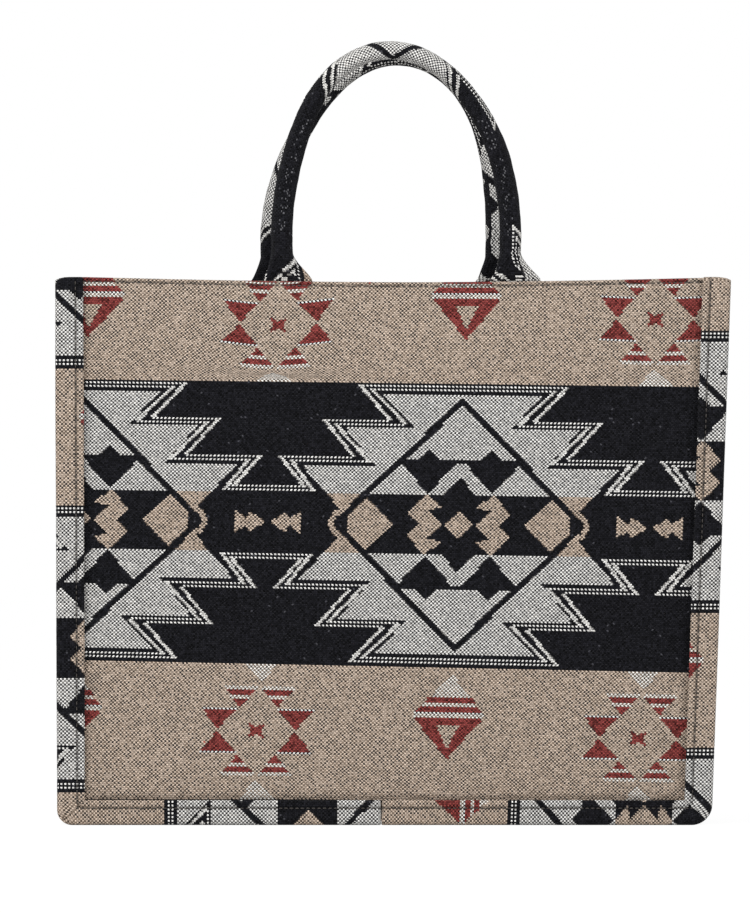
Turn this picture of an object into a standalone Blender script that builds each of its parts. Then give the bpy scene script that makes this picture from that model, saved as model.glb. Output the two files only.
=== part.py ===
"""A structured open-top tote handbag in woven blanket cloth, built piece by piece.

Metres, +Z up. The bag stands on Z = 0, its origin is under the middle of its box, and its front
panel faces -Y. Each wall is a sandwich: outer cloth, board, then facing or lining. A folded gusset
strip runs down each side and along the base, and its two flanges frame the front and back panels.
Two rolled handles are sewn into the top hem on flat feet, and swing about the cloth just above it.
"""
import math

import bmesh
import bpy
from mathutils import Vector

# Driving dimensions of the bag.
HEIGHT = 0.338
TOP_WIDTH = 0.419
DEPTH = 0.165
LEFT_LEAN = 0.0012
RIGHT_LEAN = 0.0120
LEFT_CORNER = 0.0075
RIGHT_CORNER = 0.0125
CORNER_STEPS = 5

# The gusset strip: its wall, the flanges that frame the panels, and the join along the base.
SIDE_FLANGE = 0.0175
BASE_FLANGE = 0.0155
FLANGE_THICKNESS = 0.0030
EDGE_ROUND = 0.0020
BASE_JOIN_X = -0.0074

# Layers of a wall.
CLOTH = 0.0022
BOARD = 0.0026
LINING = 0.0014
BASE_BOARD = 0.0032
FACING_HEIGHT = 0.045
GAP = 0.0003

# Handles: a cord rolled in cloth, flattened into feet that are sewn in the hem.
TUBE_DIAMETER = 0.0135
HANDLE_RISE = 0.1414
ARCH_RISE = 0.1154
FOOT_SPACING = 0.1415
FOOT_WIDTH = 0.031
FOOT_DEPTH = 0.038
FLARE_HEIGHT = 0.017
FRONT_LEAN = 0.0034
BACK_LEAN = 0.0021
FRONT_SWAY = -0.0036
FRONT_SWAY_START = 0.4
BACK_SWAY = 0.0086
BACK_SWAY_START = 0.0
HINGE_RISE = 0.008
HINGE_THICKNESS = 0.005
HINGE_RIDGE = 0.0016
HINGE_FLAT = 0.003
COVER_WALL = 0.0019
SLOT_THICKNESS = 0.0008
CORE_CLEARANCE = 0.0003
FRONT_HANDLE_X = 0.0053
BACK_HANDLE_X = -0.0037
ARCH_STATIONS = 26
FLARE_STATIONS = 4
END_ROUND_ANGLES = (75, 50, 25)
COVER_SIDES = 14
CORE_SIDES = 8

# The woven figure, counted in stitches across and rows up, as a weaver's chart is.
STITCH = 0.001208
ROW = 0.00115
REPEAT_STITCHES = 196
FIGURE_X = 0.041
FIGURE_Z = 0.186
BAND_HALF_ROWS = 76.5
TAN_HALF_ROWS = 36.5
RELIEF_STEP = 0.0004
RELIEF_ROOT = 0.0005
WINDOW_MARGIN = 0.0008

# Colours as the cloth shows them (linear values), with roughness.
BLACK = (0.012, 0.012, 0.015)
IVORY = (0.44, 0.43, 0.41)
TAN = (0.33, 0.255, 0.20)
RED = (0.17, 0.035, 0.030)
LINING_BLACK = (0.02, 0.02, 0.022)
BOARD_GREY = (0.35, 0.34, 0.32)
CORD_WHITE = (0.70, 0.68, 0.62)

HALF_DEPTH = DEPTH / 2
PANEL_FACE = HALF_DEPTH - FLANGE_THICKNESS - GAP - 3 * RELIEF_STEP
PANEL_BACK = PANEL_FACE - CLOTH
BOARD_FACE = PANEL_BACK - GAP
BOARD_BACK = BOARD_FACE - BOARD
LINING_FACE = BOARD_BACK - GAP
LINING_BACK = LINING_FACE - LINING
SIDE_BOARD = CLOTH + GAP
SIDE_LINING = SIDE_BOARD + BOARD + GAP
INSIDE = SIDE_LINING + LINING
HINGE_Z = HEIGHT + HINGE_RISE
FOOT_Y = (BOARD_FACE + BOARD_BACK) / 2
LINING_FLOOR = SIDE_BOARD + BASE_BOARD + GAP
LINING_TOP = HEIGHT - FACING_HEIGHT - GAP


def clear_scene():
    for item in list(bpy.data.objects):
        bpy.data.objects.remove(item, do_unlink=True)


def material(name, colour, roughness):
    made = bpy.data.materials.new(name)
    made.use_nodes = True
    shader = made.node_tree.nodes["Principled BSDF"]
    shader.inputs["Base Color"].default_value = (*colour, 1.0)
    shader.inputs["Roughness"].default_value = roughness
    shader.inputs["Metallic"].default_value = 0.0
    made.diffuse_color = (*colour, 1.0)
    return made


def side_x(side, z, inset=0.0):
    """X of the bag's left (-1) or right (+1) side at height z, moved in by inset."""
    lean = LEFT_LEAN if side < 0 else RIGHT_LEAN
    return side * (TOP_WIDTH / 2 - lean * (1 - z / HEIGHT) - inset)


def new_object(name, mesh, materials):
    for item in materials:
        mesh.materials.append(item)
    made = bpy.data.objects.new(name, mesh)
    bpy.context.collection.objects.link(made)
    return made


def prism(name, outline, y_near, y_far, materials, rounded=()):
    """A closed body: the outline in X and Z, drawn out along Y. rounded lists outline points
    whose edge on both faces is softened, from the first one to the last."""
    shape = bmesh.new()
    face = shape.faces.new([shape.verts.new((x, y_near, z)) for x, z in outline])
    drawn = bmesh.ops.extrude_face_region(shape, geom=[face])["geom"]
    for vert in (item for item in drawn if isinstance(item, bmesh.types.BMVert)):
        vert.co.y = y_far
    bmesh.ops.recalc_face_normals(shape, faces=shape.faces)
    soft = [edge for edge in shape.edges if on_rounded(edge, outline, rounded)]
    if soft:
        bmesh.ops.bevel(shape, geom=soft, offset=EDGE_ROUND, segments=2, profile=0.5,
                        affect="EDGES", clamp_overlap=True)
    mesh = bpy.data.meshes.new(name)
    shape.to_mesh(mesh)
    shape.free()
    return new_object(name, mesh, materials)


def on_rounded(edge, outline, rounded):
    """True for an edge of either end face that joins two neighbouring rounded points."""
    ends = [vert.co for vert in edge.verts]
    if abs(ends[0].y - ends[1].y) > GAP / 3:
        return False
    places = [Vector((outline[i][0], outline[i][1])) for i in rounded]
    hits = [min((Vector((end.x, end.z)) - place).length for place in places) < GAP / 10
            for end in ends] if places else [False]
    return all(hits)


def guide(made):
    """Marks an object as a cutting or joining shape, which is no part of the bag."""
    made.hide_render = True
    made.display_type = "WIRE"
    return made


def combine(target, other, operation):
    step = target.modifiers.new(other.name, "BOOLEAN")
    step.operation = operation
    step.object = other
    step.solver = "EXACT"
    step.material_mode = "TRANSFER"
    step.use_self = operation == "UNION"
    return step


def box_outline(x_low, x_high, z_low, z_high):
    return [(x_low, z_low), (x_high, z_low), (x_high, z_high), (x_low, z_high)]


def wall_outline(inset, z_low, z_high):
    """The front or back wall's outline between two heights, inset from the leaning sides."""
    return [(side_x(-1, z_low, inset), z_low), (side_x(1, z_low, inset), z_low),
            (side_x(1, z_high, inset), z_high), (side_x(-1, z_high, inset), z_high)]


def side_outline(side, inset, thickness, z_low, z_high):
    """The section of a leaning side layer between two heights."""
    return [(side_x(side, z_low, inset), z_low), (side_x(side, z_low, inset + thickness), z_low),
            (side_x(side, z_high, inset + thickness), z_high), (side_x(side, z_high, inset), z_high)]


def corner_arc(side, radius, first, last):
    """Points round a lower corner, from angle first to last in degrees below the horizontal."""
    centre_z = radius
    centre_x = side_x(side, radius, radius)
    turns = [math.radians(first + (last - first) * i / CORNER_STEPS) for i in range(CORNER_STEPS + 1)]
    return [(centre_x + side * radius * math.cos(a), centre_z - radius * math.sin(a)) for a in turns]


def gusset_outline(side, radius):
    """A side strip's frame outline: down the outside, round to the mitre, then up the inside."""
    outer = [(side_x(side, HEIGHT), HEIGHT)] + corner_arc(side, radius, 0, 43)
    inner_low = (side_x(side, BASE_FLANGE, SIDE_FLANGE), BASE_FLANGE + GAP)
    inner_top = (side_x(side, HEIGHT, SIDE_FLANGE), HEIGHT)
    return outer + [inner_low, inner_top], range(len(outer))


def make_side_gusset(name, side, radius, cloth):
    """The folded strip of one side: its wall, with a flange over the front and the back panel."""
    outline, outer = gusset_outline(side, radius)
    strip = prism(name, outline, -HALF_DEPTH, HALF_DEPTH, [cloth], outer)
    reach = SIDE_FLANGE + CLOTH
    hollow = prism(name + "_hollow", [
        (side_x(side, -reach, CLOTH), -reach), (side_x(side, -reach, reach), -reach),
        (side_x(side, HEIGHT + reach, reach), HEIGHT + reach),
        (side_x(side, HEIGHT + reach, CLOTH), HEIGHT + reach)],
        -HALF_DEPTH + FLANGE_THICKNESS, HALF_DEPTH - FLANGE_THICKNESS, [cloth])
    combine(strip, guide(hollow), "DIFFERENCE")
    lip = prism(name + "_lip", side_outline(side, CLOTH / 2, CLOTH / 2 + GAP + BOARD, HEIGHT - CLOTH,
                                            HEIGHT - GAP), -LINING_BACK, LINING_BACK, [cloth])
    combine(strip, guide(lip), "UNION")
    return strip


def make_base_gusset(name, side, radius, cloth):
    """One of the two strips that meet under the base, mitred to its side strip at the corner."""
    corner = corner_arc(side, radius, 47, 90)
    join = BASE_JOIN_X + side * GAP / 2
    inner_x = side_x(side, BASE_FLANGE, SIDE_FLANGE + GAP)
    outline = corner + [(join, 0.0), (join, BASE_FLANGE), (inner_x, BASE_FLANGE)]
    strip = prism(name, outline, -HALF_DEPTH, HALF_DEPTH, [cloth], range(len(corner) + 1))
    outside = side_x(side, 0.0, -SIDE_FLANGE)
    past_join = BASE_JOIN_X - side * SIDE_FLANGE
    hollow = prism(name + "_hollow", [(outside, CLOTH), (past_join, CLOTH),
                                      (past_join, BASE_FLANGE + CLOTH), (outside, BASE_FLANGE + CLOTH)],
                   -HALF_DEPTH + FLANGE_THICKNESS, HALF_DEPTH - FLANGE_THICKNESS, [cloth])
    combine(strip, guide(hollow), "DIFFERENCE")
    return strip


def half_figure():
    """The stepped field's corners on its right, from the top row to the bottom row."""
    upper = [(41.5, 70.5), (24.5, 52), (60.5, 52), (44.5, 31.5), (82, 31.5), (61.5, 8)]
    return upper + [(stitch, -row) for stitch, row in reversed(upper)]


def mirrored(points):
    return [(-stitch, row) for stitch, row in reversed(points)]


def upside_down(points):
    return [(stitch, -row) for stitch, row in reversed(points)]


def ribbon():
    """The double dotted line that steps down round the field, on its right and upper side."""
    outer = [(0.5, 75.2), (54, 75.2), (38, 56.7), (72, 56.7), (56, 36.7), (94, 36.7), (81, 20.2),
             (97.5, 20.2)]
    inner = [(97.5, 16.5), (74, 16.5), (86, 33), (46, 33), (64.5, 53.5), (28, 53.5), (46, 71.8),
             (0.5, 71.8)]
    return outer + inner


def on_cloth(points, across=0.0, up=0.0):
    return [(FIGURE_X + (stitch + across) * STITCH, FIGURE_Z + (row + up) * ROW)
            for stitch, row in points]


def ring_figures(across, up):
    """The red figure between two big diamonds: bars, arrowheads and triangles round a centre."""
    quarter = [([(1, 22.5), (18, 22.5), (15.5, 19.5), (1, 19.5)], "red"),
               ([(4, 17.5), (15.5, 17.5), (9.5, 12.5)], "red"),
               ([(20, 1), (11, 11), (28.5, 11)], "red"),
               ([(1, 24.5), (18, 24.5), (14, 28.5), (9, 36), (1, 36)], "ivory"),
               ([(1, 1), (3, 1), (4, 4.5), (1.6, 2.6)], "red")]
    shapes = []
    for points, colour in quarter:
        for form in (points, mirrored(points), upside_down(points), upside_down(mirrored(points))):
            shapes.append((on_cloth(form, across, up), colour))
    return shapes


def drop_figures(across, up):
    """The red diamond that hangs point down, with its bars above it."""
    forms = [([(0, 36), (10.5, 21), (-10.5, 21)], "ivory"),
             ([(-11, 20.3), (11, 20.3), (13, 18), (-13, 18)], "red"),
             ([(-14, 15), (14, 15), (17.5, 12), (-17.5, 12)], "red"),
             ([(-17.5, 9), (17.5, 9), (0, -13)], "red")]
    return [(on_cloth(points, across, up), colour) for points, colour in forms]


def figure_layers():
    """The woven fields in order of height: (outline, colour) on the ground, then on those."""
    wide = 1.5 * REPEAT_STITCHES
    ground = [(on_cloth([(-wide, -BAND_HALF_ROWS), (wide, -BAND_HALF_ROWS), (wide, BAND_HALF_ROWS),
                         (-wide, BAND_HALF_ROWS)]), "black")]
    fields, lines = [], []
    right = half_figure()
    tan_middle = BAND_HALF_ROWS + TAN_HALF_ROWS
    for copy in (-1, 0, 1):
        across = copy * REPEAT_STITCHES
        fields.append((on_cloth(right + mirrored(right), across), "ivory"))
        for form in (ribbon(), mirrored(ribbon()), upside_down(ribbon()), upside_down(mirrored(ribbon()))):
            fields.append((on_cloth(form, across), "ivory"))
        lines += diamond_figures(across)
        fields += arrow_figures(across + REPEAT_STITCHES / 2)
        for up in (-tan_middle, tan_middle):
            ground += ring_figures(across + REPEAT_STITCHES / 2, up)
            ground += drop_figures(across, up)
    return ground, fields, lines


def arrow_figures(across):
    half = [(-17, 0), (-17, 6.5), (-11, 1.5), (-9, 5.5), (-1, 0), (-9, -5.5), (-11, -1.5), (-17, -6.5)]
    return [(on_cloth(form, across), "tan") for form in (half, mirrored(half))]


def diamond_figures(across):
    """Dark figures on the stepped field: the big diamond's lines, its crown and its waist."""
    line = [(2, 67), (65.5, 0), (2, -67), (2, -62), (60.5, 0), (2, 62)]
    crown = [(1, 33), (11, 34.5), (16.5, 40.5), (21, 34.5), (30.5, 33), (16.5, 17.5)]
    waist = [(0, 15), (43, 15), (57, 0), (43, -15), (0, -15)]
    shapes = [line, mirrored(line), crown, mirrored(crown), upside_down(crown),
              upside_down(mirrored(crown)), waist + mirrored(waist)[1:-1]]
    return [(on_cloth(points, across), "black") for points in shapes]


def raised_fields(name, fields, height, y_face, out, palette):
    """One object holding every field of a layer, cut to the window inside the frame."""
    margin = WINDOW_MARGIN + height
    window = wall_outline(SIDE_FLANGE + margin, BASE_FLANGE + margin, HEIGHT - margin)
    joined = bmesh.new()
    for outline, colour in fields:
        if not meets_window(outline, window):
            continue
        near = joined.faces.new([joined.verts.new((x, y_face - out * (RELIEF_ROOT + height), z))
                                 for x, z in outline])
        near.material_index = list(palette).index(colour)
        drawn = bmesh.ops.extrude_face_region(joined, geom=[near])["geom"]
        for vert in (item for item in drawn if isinstance(item, bmesh.types.BMVert)):
            vert.co.y = y_face + out * height
    bmesh.ops.recalc_face_normals(joined, faces=joined.faces)
    mesh = bpy.data.meshes.new(name)
    joined.to_mesh(mesh)
    joined.free()
    made = guide(new_object(name, mesh, list(palette.values())))
    combine(made, guide(prism(name + "_window", window, y_face - HALF_DEPTH, y_face + HALF_DEPTH,
                              list(palette.values()))), "INTERSECT")
    return made


def meets_window(outline, window):
    low = [min(place[k] for place in outline) for k in (0, 1)]
    high = [max(place[k] for place in outline) for k in (0, 1)]
    return all(low[k] < max(p[k] for p in window) and high[k] > min(p[k] for p in window)
               for k in (0, 1))


def make_panel(name, out, palette):
    """The front (out -1) or back (out +1) panel: the cloth, turned in over the top as a hem."""
    near, far = sorted((out * PANEL_FACE, out * PANEL_BACK))
    panel = prism(name, wall_outline(SIDE_BOARD, SIDE_BOARD, HEIGHT), near, far,
                  list(palette.values()))
    lip_near, lip_far = sorted((out * (PANEL_BACK + CLOTH / 2), out * (BOARD_BACK - GAP / 2)))
    lip_inset = SIDE_LINING
    lip = prism(name + "_lip", wall_outline(lip_inset, HEIGHT - CLOTH, HEIGHT - GAP), lip_near,
                lip_far, list(palette.values()))
    combine(panel, guide(lip), "UNION")
    for side in (-1, 1):
        x = handle_x(out) + side * FOOT_SPACING / 2
        half = FOOT_WIDTH / 2 + GAP
        cut_near, cut_far = sorted((out * (PANEL_BACK + GAP / 2), out * LINING_BACK))
        cut = prism(name + "_notch" + str(side), box_outline(x - half, x + half, HEIGHT - FOOT_DEPTH,
                                                             HEIGHT + CLOTH),
                    cut_near, cut_far, list(palette.values()))
        combine(panel, guide(cut), "DIFFERENCE")
    for level, fields in enumerate(figure_layers()):
        raised = raised_fields(name + "_fields" + str(level), fields, (level + 1) * RELIEF_STEP,
                               out * PANEL_FACE, out, palette)
        combine(panel, raised, "UNION")
    return panel


def handle_x(out):
    return FRONT_HANDLE_X if out < 0 else BACK_HANDLE_X


def make_wall_board(name, out, board):
    """The board that keeps a panel flat, notched at the top for the handle's two feet."""
    near, far = sorted((out * BOARD_FACE, out * BOARD_BACK))
    outline = [(side_x(-1, SIDE_BOARD, SIDE_BOARD), SIDE_BOARD),
               (side_x(1, SIDE_BOARD, SIDE_BOARD), SIDE_BOARD)]
    top = HEIGHT - CLOTH - GAP
    outline.append((side_x(1, top, SIDE_BOARD), top))
    floor = HEIGHT - FOOT_DEPTH - GAP
    for side in (1, -1):
        x = handle_x(out) + side * FOOT_SPACING / 2
        half = FOOT_WIDTH / 2 + GAP
        outline += [(x + half, top), (x + half, floor), (x - half, floor), (x - half, top)]
    outline.append((side_x(-1, top, SIDE_BOARD), top))
    return prism(name, outline, near, far, [board])


def make_side_board(name, side, board):
    """The board inside a side strip, between the front and back boards."""
    reach = BOARD_BACK - GAP
    return prism(name, side_outline(side, SIDE_BOARD, BOARD, SIDE_BOARD, HEIGHT - CLOTH - GAP),
                 -reach, reach, [board])


def make_base_board(name, board):
    reach = BOARD_BACK - GAP
    inset = SIDE_BOARD + BOARD + GAP
    return prism(name, wall_outline(inset, SIDE_BOARD, SIDE_BOARD + BASE_BOARD), -reach, reach, [board])


def make_wall_layer(name, out, z_low, z_high, finish):
    """Facing or lining on the inside of the front or back wall."""
    near, far = sorted((out * LINING_FACE, out * LINING_BACK))
    return prism(name, wall_outline(SIDE_LINING, z_low, z_high), near, far, [finish])


def make_side_layer(name, side, z_low, z_high, finish):
    """Facing or lining on the inside of a side wall, between those of the front and back."""
    reach = LINING_BACK - GAP
    return prism(name, side_outline(side, SIDE_LINING, LINING, z_low, z_high), -reach, reach, [finish])


def make_base_lining(name, finish):
    reach = LINING_BACK - GAP
    return prism(name, wall_outline(INSIDE + GAP, LINING_FLOOR, LINING_FLOOR + LINING), -reach, reach,
                 [finish])


def lean_at(rise, out):
    """How far a handle has moved left at a rise above its hinge: nothing at the hem, all of it
    where the foot has become the round tube."""
    lean = FRONT_LEAN if out < 0 else BACK_LEAN
    return lean * min((rise + HINGE_RISE) / FLARE_HEIGHT, 1.0)


def sway_at(share, out):
    """How far the arch has moved right at a share of its rise, growing from its start to the top."""
    sway, start = (FRONT_SWAY, FRONT_SWAY_START) if out < 0 else (BACK_SWAY, BACK_SWAY_START)
    grown = max(share - start, 0.0) / (1.0 - start)
    return sway * grown * grown * (3 - 2 * grown)


def handle_centre(turn, spring, out):
    """A point of the handle's centre line at turn 0 (left) to pi (right), from its own middle."""
    lean = lean_at(spring, out) - sway_at(math.sin(turn), out)
    return Vector((-math.cos(turn) * FOOT_SPACING / 2 - lean, spring + ARCH_RISE * math.sin(turn)))


def handle_stations(out):
    """Centre points from the left hinge, over the arch, to the right hinge, in the hinge's frame."""
    top = HANDLE_RISE - HINGE_RISE
    spring = top - ARCH_RISE
    flare = FLARE_HEIGHT - HINGE_RISE
    rises = [flare * i / FLARE_STATIONS for i in range(FLARE_STATIONS + 1)]
    rises.append((flare + spring) / 2)
    rounded_end = [-HINGE_THICKNESS / 2 * math.sin(math.radians(turn)) for turn in END_ROUND_ANGLES]
    rises = rounded_end + rises
    left = [Vector((-FOOT_SPACING / 2 - lean_at(rise, out), rise)) for rise in rises]
    turns = [math.pi * i / ARCH_STATIONS for i in range(ARCH_STATIONS + 1)]
    arch = [handle_centre(turn, spring, out) for turn in turns]
    right = [Vector((FOOT_SPACING / 2 - lean_at(rise, out), rise)) for rise in reversed(rises)]
    return left + arch + right


def flare_share(rise):
    """0 on the flat stretch at the hinge, 1 where the foot has become the round tube."""
    share = min(max((rise - HINGE_FLAT) / (FLARE_HEIGHT - HINGE_RISE - HINGE_FLAT), 0.0), 1.0)
    return share * share * (3 - 2 * share)


def width_at_hinge():
    """The foot's width where it bends, part of the way from the hem to the round tube."""
    share = HINGE_RISE / FLARE_HEIGHT
    return FOOT_WIDTH + (TUBE_DIAMETER - FOOT_WIDTH) * share


def tube_mesh(name, stations, sizes, sides, finish):
    """A closed tube along the stations, each section an ellipse of the given width and thickness.
    Sections of the straight legs stay level, so that both ends stand square on their feet."""
    spring = HANDLE_RISE - HINGE_RISE - ARCH_RISE
    shape = bmesh.new()
    rings = []
    for i, centre in enumerate(stations):
        ahead = stations[min(i + 1, len(stations) - 1)] - stations[max(i - 1, 0)]
        if centre.y < spring:
            ahead.x = 0.0
        across = Vector((ahead.y, -ahead.x)).normalized()
        wide, thick = sizes[i]
        ring = []
        for k in range(sides):
            angle = math.tau * k / sides
            reach = across * wide / 2 * math.cos(angle)
            ring.append(shape.verts.new((centre.x + reach.x, thick / 2 * math.sin(angle),
                                         centre.y + reach.y)))
        rings.append(ring)
    for low, high in zip(rings, rings[1:]):
        for k in range(sides):
            shape.faces.new((low[k], low[(k + 1) % sides], high[(k + 1) % sides], high[k]))
    shape.faces.new(list(reversed(rings[0])))
    shape.faces.new(rings[-1])
    bmesh.ops.recalc_face_normals(shape, faces=shape.faces)
    mesh = bpy.data.meshes.new(name)
    shape.to_mesh(mesh)
    shape.free()
    mesh.shade_smooth()
    mesh.set_sharp_from_angle(angle=math.radians(40))
    return new_object(name, mesh, [finish])


def section_sizes(stations, round_size, hinge_width, hinge_thickness):
    sizes = []
    for centre in stations:
        share = flare_share(centre.y)
        sizes.append((hinge_width + (round_size - hinge_width) * share,
                      hinge_thickness + (round_size - hinge_thickness) * share))
    return sizes


def rounded_ends(stations, sizes):
    """Rounds the sections below the hinge line, so that the cover turns clear of its foot."""
    radius = HINGE_THICKNESS / 2
    return [(wide, 2 * math.sqrt(radius ** 2 - centre.y ** 2) if centre.y < 0 else thick)
            for centre, (wide, thick) in zip(stations, sizes)]


def make_handle(name, out, cloth, cord):
    """The rolled cloth cover with its filler cord, hung on an empty on the line where it bends."""
    hinge = bpy.data.objects.new(name + "_hinge", None)
    hinge.location = (handle_x(out), out * FOOT_Y, HINGE_Z)
    bpy.context.collection.objects.link(hinge)
    stations = handle_stations(out)
    outer = section_sizes(stations, TUBE_DIAMETER, width_at_hinge(), HINGE_THICKNESS)
    cover = tube_mesh(name, stations, rounded_ends(stations, outer), COVER_SIDES, cloth)
    bore = TUBE_DIAMETER - 2 * COVER_WALL
    inner = section_sizes(stations, bore, width_at_hinge() - 2 * COVER_WALL, SLOT_THICKNESS)
    drop = Vector((0.0, COVER_WALL))
    longer = [stations[0] - drop] + stations + [stations[-1] - drop]
    hollow = tube_mesh(name + "_hollow", longer, [inner[0]] + inner + [inner[-1]], CORE_SIDES, cloth)
    combine(cover, guide(hollow), "DIFFERENCE")
    ends = FLARE_STATIONS + len(END_ROUND_ANGLES)
    kept = stations[ends:len(stations) - ends]
    size = bore * math.cos(math.pi / CORE_SIDES) - 2 * CORE_CLEARANCE
    core = tube_mesh(name + "_cord", kept, [(size, size)] * len(kept), CORE_SIDES, cord)
    for piece in (cover, hollow, core):
        piece.parent = hinge
    return cover


def make_foot(name, out, side, cloth):
    """A flat end of the handle, sewn in the hem and standing up to the line where it bends."""
    x = handle_x(out) + side * FOOT_SPACING / 2
    top = HINGE_Z - HINGE_THICKNESS / 2 - GAP
    hem = HEIGHT + GAP
    rows = [(HEIGHT - FOOT_DEPTH, FOOT_WIDTH, BOARD), (hem, FOOT_WIDTH, BOARD),
            (top, width_at_hinge(), HINGE_RIDGE)]
    shape = bmesh.new()
    rings = []
    for z, wide, thick in rows:
        middle = x - lean_at(z - HINGE_Z, out) if z > hem else x
        corners = [(-wide / 2, -thick / 2), (wide / 2, -thick / 2), (wide / 2, thick / 2),
                   (-wide / 2, thick / 2)]
        rings.append([shape.verts.new((middle + dx, out * FOOT_Y + dy, z)) for dx, dy in corners])
    for low, high in zip(rings, rings[1:]):
        for k in range(4):
            shape.faces.new((low[k], low[(k + 1) % 4], high[(k + 1) % 4], high[k]))
    shape.faces.new(list(reversed(rings[0])))
    shape.faces.new(rings[-1])
    bmesh.ops.recalc_face_normals(shape, faces=shape.faces)
    mesh = bpy.data.meshes.new(name)
    shape.to_mesh(mesh)
    shape.free()
    return new_object(name, mesh, [cloth])


def build():
    clear_scene()
    palette = {"tan": material("tan_cloth", TAN, 0.95), "black": material("black_cloth", BLACK, 0.95),
               "ivory": material("ivory_cloth", IVORY, 0.95), "red": material("red_cloth", RED, 0.95)}
    board = material("board", BOARD_GREY, 0.9)
    lining = material("lining", LINING_BLACK, 0.7)
    cord = material("filler_cord", CORD_WHITE, 0.9)
    make_panel("front_panel", -1, palette)
    make_panel("back_panel", 1, palette)
    make_side_gusset("left_gusset", -1, LEFT_CORNER, palette["tan"])
    make_side_gusset("right_gusset", 1, RIGHT_CORNER, palette["black"])
    make_base_gusset("base_gusset_left", -1, LEFT_CORNER, palette["black"])
    make_base_gusset("base_gusset_right", 1, RIGHT_CORNER, palette["tan"])
    for wall, out in (("front", -1), ("back", 1)):
        make_wall_board(wall + "_board", out, board)
        make_wall_layer(wall + "_facing", out, HEIGHT - FACING_HEIGHT, HEIGHT - GAP, palette["tan"])
        make_wall_layer(wall + "_lining", out, LINING_FLOOR, LINING_TOP, lining)
        make_handle(wall + "_handle", out, palette["black"], cord)
        for side, word in ((-1, "left"), (1, "right")):
            make_foot(wall + "_handle_" + word + "_foot", out, side, palette["black"])
    for side, word in ((-1, "left"), (1, "right")):
        make_side_board(word + "_board", side, board)
        make_side_layer(word + "_facing", side, HEIGHT - FACING_HEIGHT, HEIGHT - GAP, palette["tan"])
        make_side_layer(word + "_lining", side, LINING_FLOOR, LINING_TOP, lining)
    make_base_board("base_board", board)
    make_base_lining("base_lining", lining)
    bpy.context.view_layer.update()


build()
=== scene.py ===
"""A structured open-top tote in woven blanket cloth, standing on a pale floor."""
import math

import bmesh
import bpy
import numpy as np
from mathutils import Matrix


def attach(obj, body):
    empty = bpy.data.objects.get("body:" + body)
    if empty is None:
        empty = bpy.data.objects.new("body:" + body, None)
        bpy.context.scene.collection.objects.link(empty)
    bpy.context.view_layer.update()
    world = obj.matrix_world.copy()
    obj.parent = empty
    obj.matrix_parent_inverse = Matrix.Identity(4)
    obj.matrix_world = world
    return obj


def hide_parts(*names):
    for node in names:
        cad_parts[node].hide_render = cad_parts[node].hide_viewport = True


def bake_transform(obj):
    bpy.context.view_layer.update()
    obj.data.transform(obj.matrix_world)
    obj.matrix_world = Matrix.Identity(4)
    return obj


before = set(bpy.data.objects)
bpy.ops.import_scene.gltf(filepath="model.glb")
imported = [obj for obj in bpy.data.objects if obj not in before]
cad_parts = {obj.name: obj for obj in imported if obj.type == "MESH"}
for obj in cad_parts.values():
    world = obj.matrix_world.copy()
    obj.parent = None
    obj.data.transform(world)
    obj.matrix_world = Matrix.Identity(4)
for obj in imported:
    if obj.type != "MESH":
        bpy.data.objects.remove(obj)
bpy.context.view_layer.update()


# Front and back panels. Woolly blanket cloth woven in black, ivory, tan and red, laid over a stiff
# board inside the frame of gusset strips, and turned in over the top edge as a topstitched hem.
# The weave is plain: at every second stitch the figure's own yarn lies on top of the other, and in the
# gaps between, the other yarn is darkened with painted shade.
HEIGHT = 0.338
TOP_WIDTH = 0.419
HALF_DEPTH = 0.0825
LEFT_LEAN, RIGHT_LEAN = 0.0012, 0.0120
SIDE_FLANGE, BASE_FLANGE = 0.0175, 0.0155
STITCH, ROW = 0.001208, 0.00115
FIGURE_X, FIGURE_Z = 0.041, 0.186
REPEAT_ACROSS, REPEAT_UP, BAND_HALF = 196, 226, 76.5
PANEL_FACE, PANEL_BACK = 0.0788, 0.0760
HEM_ROUND, LIP_END, BOARD_TOP = 0.0014, 0.0730, 0.3358
SIDE_TUCK, LOW_TUCK = 0.0060, 0.0030
HEM_ROW, HEM_SEAM_DROP, SEAM_DEPTH = 0.0013, 0.0027, 0.0005
FOOT_SPACING, FOOT_WIDTH, FOOT_Y = 0.1415, 0.031, 0.0742
HANDLE_MIDDLE = {-1: 0.0053, 1: -0.0037}
BLACK, IVORY, TAN, RED, DOTS, IVORY_ON_TAN, LINE, FAINT = range(8)

FIELD = [(0, 70.4), (41.5, 70.4), (24.5, 52), (60.5, 52), (44.5, 31.5), (82, 31.5), (61.5, 8),
         (62.5, 0), (0, 0)]
TIER_ROWS = [(74.5, 0, 53), (72.5, 0, 47), (55.5, 37, 71), (53.5, 29, 65.5), (35.5, 55, 93),
             (33.5, 47, 87), (19.5, 80, 98), (17.5, 75, 98)]
TIER_SLANTS = [((53, 74.5), (37, 56)), ((47, 72.5), (29, 54)), ((71, 56), (55, 36)),
               ((65.5, 54), (47, 33.5)), ((93, 36), (80, 19.5)), ((87, 33.5), (75, 17))]
CROWN = [[(0, 33), (30.5, 33), (30.5, 35), (0, 35)], [(10.5, 34.5), (21.5, 34.5), (16.5, 40.5)],
         [(2.5, 33), (30.5, 33), (16.5, 16.5)], [(-8, 16.5), (0, 25.5), (8, 16.5)]]
ZIGZAG = [(9, -1), (9, 0), (16, 8), (8.5, 9), (17, 16.5), (26.5, 6), (21, 0), (21, -1)]
SIDE_DIAMOND = [(34, 0), (48, 15), (58.5, 4), (58.5, -1), (34, -1)]
ARROW = [(81, -1), (81, 6.5), (87, 1.5), (89, 5.5), (97.2, 0), (97.2, -1)]
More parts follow.
